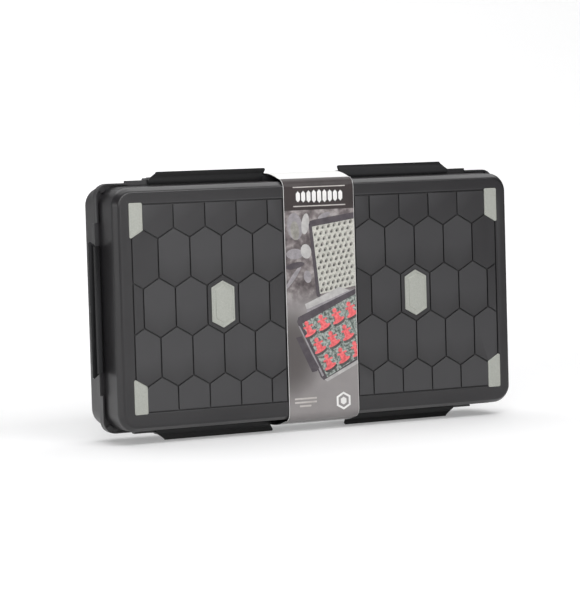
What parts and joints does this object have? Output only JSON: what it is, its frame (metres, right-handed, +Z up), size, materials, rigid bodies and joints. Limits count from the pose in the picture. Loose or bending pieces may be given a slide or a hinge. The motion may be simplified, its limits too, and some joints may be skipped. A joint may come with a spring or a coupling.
{
  "type": "miniature carry case",
  "caption": "Flat two-shell hard case for gaming miniatures, with foam-lined halves, a lift-off lid, hinged edge latches and a card sleeve.",
  "frame": {"origin": "Centre of the case's footprint on the floor when it stands on its long edge, on the plane where the shells meet", "axes": "+X along the case to its right end, +Y from the lid to the base, +Z up"},
  "size_m": [0.4416, 0.0818, 0.251],
  "materials": {
    "black_plastic": "satin moulded black plastic",
    "latch_plastic": "smooth black plastic",
    "silver_plastic": "satin silver-grey plastic",
    "seal_rubber": "matt foam rubber",
    "foam": "open-cell grey foam",
    "pin_steel": "drawn wire",
    "sleeve_print": "printed, satin laminate",
    "sleeve_card": "coated white card"
  },
  "bodies": {
    "base": {"base_shell": "black_plastic", "rim_seal": "seal_rubber", "foam_pad_base": "foam", "rim_locators": "black_plastic", "hinge_pin_top_left": "pin_steel", "hinge_pin_top_right": "pin_steel", "hinge_pin_bottom_left": "pin_steel", "hinge_pin_bottom_right": "pin_steel", "hinge_pin_side_left": "pin_steel", "hinge_pin_side_right": "pin_steel"},
    "lid": {"lid_shell": "black_plastic", "foam_pad_lid": "foam", "corner_inlay_top_left": "silver_plastic", "corner_inlay_top_right": "silver_plastic", "corner_inlay_bottom_left": "silver_plastic", "corner_inlay_bottom_right": "silver_plastic", "centre_inlay_left": "silver_plastic", "centre_inlay_right": "silver_plastic"},
    "latch_top_left": {"latch_top_left": "latch_plastic"},
    "latch_top_right": {"latch_top_right": "latch_plastic"},
    "latch_bottom_left": {"latch_bottom_left": "latch_plastic"},
    "latch_bottom_right": {"latch_bottom_right": "latch_plastic"},
    "latch_side_left": {"latch_side_left": "latch_plastic"},
    "latch_side_right": {"latch_side_right": "latch_plastic"},
    "sleeve_front": {"sleeve_front": "sleeve_print"},
    "sleeve_back": {"sleeve_back": "sleeve_card"}
  },
  "joints": [
    {"name": "lid_lift", "type": "slide", "parent": "base", "child": "lid", "axis": [0, -1, 0], "range_m": [0, 0.25]},
    {"name": "latch_top_left_turn", "type": "hinge", "parent": "base", "child": "latch_top_left", "pos_m": [-0.1005, 0.0095, 0.2423], "axis": [-1, 0, 0], "range_deg": [0, 110]},
    {"name": "latch_top_right_turn", "type": "hinge", "parent": "base", "child": "latch_top_right", "pos_m": [0.1005, 0.0095, 0.2423], "axis": [-1, 0, 0], "range_deg": [0, 110]},
    {"name": "latch_bottom_left_turn", "type": "hinge", "parent": "base", "child": "latch_bottom_left", "pos_m": [-0.1005, 0.0095, 0.0087], "axis": [1, 0, 0], "range_deg": [0, 110]},
    {"name": "latch_bottom_right_turn", "type": "hinge", "parent": "base", "child": "latch_bottom_right", "pos_m": [0.1005, 0.0095, 0.0087], "axis": [1, 0, 0], "range_deg": [0, 110]},
    {"name": "latch_side_left_turn", "type": "hinge", "parent": "base", "child": "latch_side_left", "pos_m": [-0.21205, 0.0095, 0.1255], "axis": [0, 0, -1], "range_deg": [0, 110]},
    {"name": "latch_side_right_turn", "type": "hinge", "parent": "base", "child": "latch_side_right", "pos_m": [0.21205, 0.0095, 0.1255], "axis": [0, 0, 1], "range_deg": [0, 110]},
    {"name": "sleeve_front_off", "type": "slide", "parent": "lid", "child": "sleeve_front", "axis": [0, -1, 0], "range_m": [0, 0.1]},
    {"name": "sleeve_back_off", "type": "slide", "parent": "base", "child": "sleeve_back", "axis": [0, 1, 0], "range_m": [0, 0.1]}
  ],
  "couplings": [
    {"joint": "sleeve_back_off", "follows": "sleeve_front_off", "ratio": 1}
  ]
}
